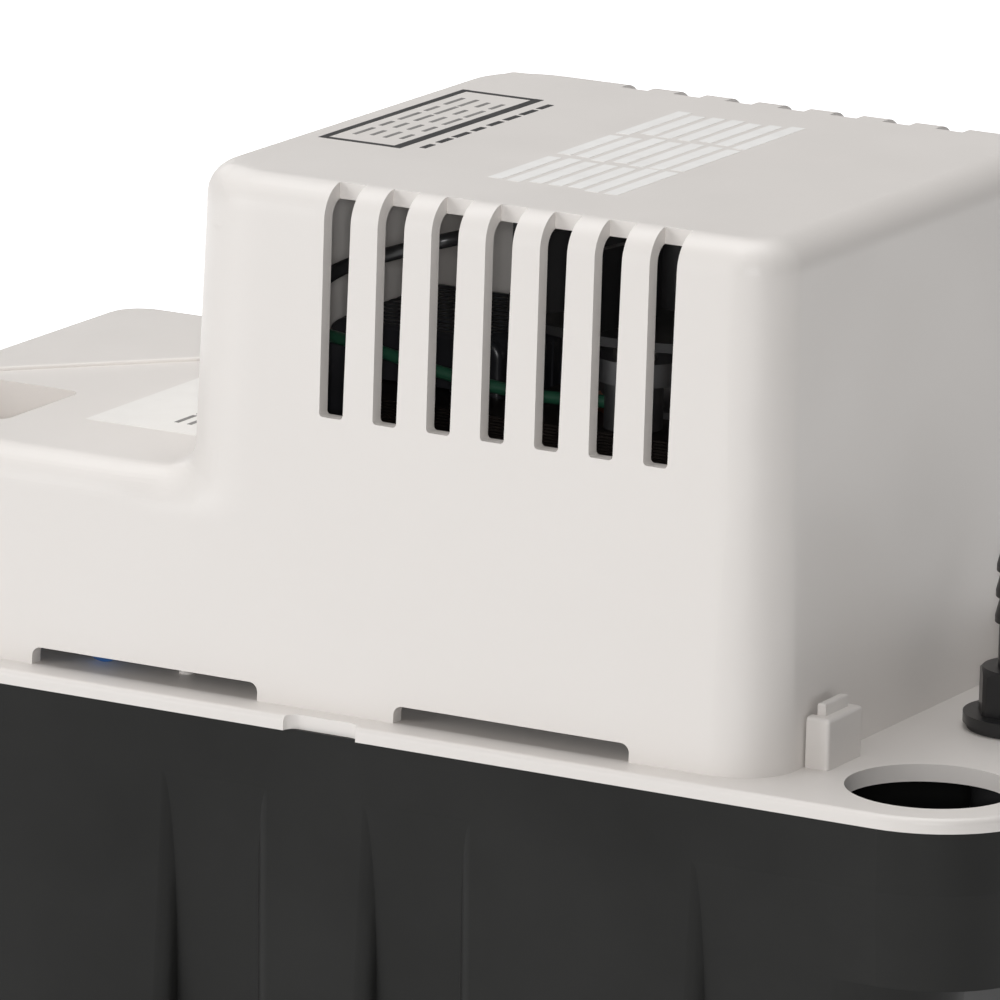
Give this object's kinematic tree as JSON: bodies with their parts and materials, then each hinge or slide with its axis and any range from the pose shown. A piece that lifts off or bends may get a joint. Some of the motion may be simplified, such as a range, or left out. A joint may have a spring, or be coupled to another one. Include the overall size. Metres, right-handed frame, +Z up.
{
  "type": "condensate pump",
  "caption": "Condensate pump: black rectangular reservoir, pale deck with round inlets and a hose barb, and a stepped pale motor cover with vent slots.",
  "frame": {"origin": "under the middle of the reservoir, on the surface that it stands on", "axes": "+X along the long front towards the discharge end, -Y out of the front, +Z up"},
  "size_m": [0.281, 0.129, 0.1872],
  "materials": {
    "tank_plastic": "satin moulded",
    "shell_plastic": "fine satin moulded",
    "lamination_steel": "black varnished steel",
    "coil_tape": "black insulating tape",
    "copper": "bare copper",
    "cast_metal": "die-cast",
    "bronze": "sintered bronze",
    "steel": "zinc plated",
    "fan_plastic": "black moulded",
    "rubber": "soft black rubber",
    "pump_plastic": "glass filled",
    "float_plastic": "natural moulded",
    "ball": "smooth acetal",
    "switch_plastic": "black phenolic",
    "plunger_plastic": "red nylon",
    "terminal_brass": "tinned brass",
    "connector_blue": "blue nylon",
    "lead_black": "black sleeve",
    "lead_green": "green sleeve",
    "lead_white": "white sleeve"
  },
  "bodies": {
    "tank": {"tank": "tank_plastic"},
    "deck": {"deck": "shell_plastic", "stator_laminations": "lamination_steel", "motor_coil": "coil_tape", "shading_rings": "copper", "upper_bracket": "cast_metal", "lower_bracket": "cast_metal", "upper_bearing": "bronze", "lower_bearing": "bronze", "motor_screws": "steel", "pump_column": "pump_plastic", "column_screws": "steel", "pump_volute": "pump_plastic", "intake_plate": "pump_plastic", "volute_screws": "steel", "discharge_tube": "pump_plastic", "valve_gasket": "rubber", "check_valve_body": "fan_plastic", "pivot_pin": "steel", "switch_bracket": "steel", "bracket_screws": "steel", "run_switch": "switch_plastic", "safety_switch": "switch_plastic", "switch_screws": "steel", "switch_terminals": "terminal_brass", "wire_connectors": "connector_blue", "cord_grommet": "rubber", "lead_black": "lead_black", "lead_green": "lead_green", "lead_white": "lead_white"},
    "cover": {"motor_cover": "shell_plastic"},
    "rotor": {"rotor_core": "cast_metal", "motor_shaft": "steel", "cooling_fan": "fan_plastic", "water_slinger": "rubber", "impeller": "pump_plastic"},
    "float": {"float": "float_plastic", "float_rod": "steel", "rod_clips": "steel"},
    "lever": {"switch_lever": "steel"},
    "run_button": {"run_plunger": "plunger_plastic"},
    "safety_button": {"safety_plunger": "plunger_plastic"},
    "valve_ball": {"check_ball": "ball"}
  },
  "joints": [
    {"name": "deck_lift", "type": "slide", "parent": "tank", "child": "deck", "axis": [0, 0, 1], "range_m": [0, 0.1]},
    {"name": "cover_lift", "type": "slide", "parent": "deck", "child": "cover", "axis": [0, 0, 1], "range_m": [0, 0.1]},
    {"name": "rotor_spin", "type": "hinge", "parent": "deck", "child": "rotor", "pos_m": [0.052, 0, 0.0975], "axis": [0, 0, 1], "continuous": true},
    {"name": "float_travel", "type": "slide", "parent": "deck", "child": "float", "axis": [0, 0, 1], "range_m": [0, 0.014]},
    {"name": "lever_tilt", "type": "hinge", "parent": "deck", "child": "lever", "pos_m": [-0.042, 0.01, 0.1041], "axis": [0, 1, 0], "range_deg": [0, 18.5]},
    {"name": "run_press", "type": "slide", "parent": "deck", "child": "run_button", "axis": [0, 0, 1], "range_m": [0, 0.0021]},
    {"name": "safety_press", "type": "slide", "parent": "deck", "child": "safety_button", "axis": [0, 0, 1], "range_m": [0, 0.0021]},
    {"name": "ball_lift", "type": "slide", "parent": "deck", "child": "valve_ball", "axis": [0, 0, 1], "range_m": [0, 0.003]}
  ],
  "couplings": [
    {"joint": "lever_tilt", "follows": "float_travel", "rad_per_m": 22.982},
    {"joint": "run_press", "follows": "float_travel", "ratio": 0.14286},
    {"joint": "safety_press", "follows": "float_travel", "ratio": 0.14286}
  ]
}
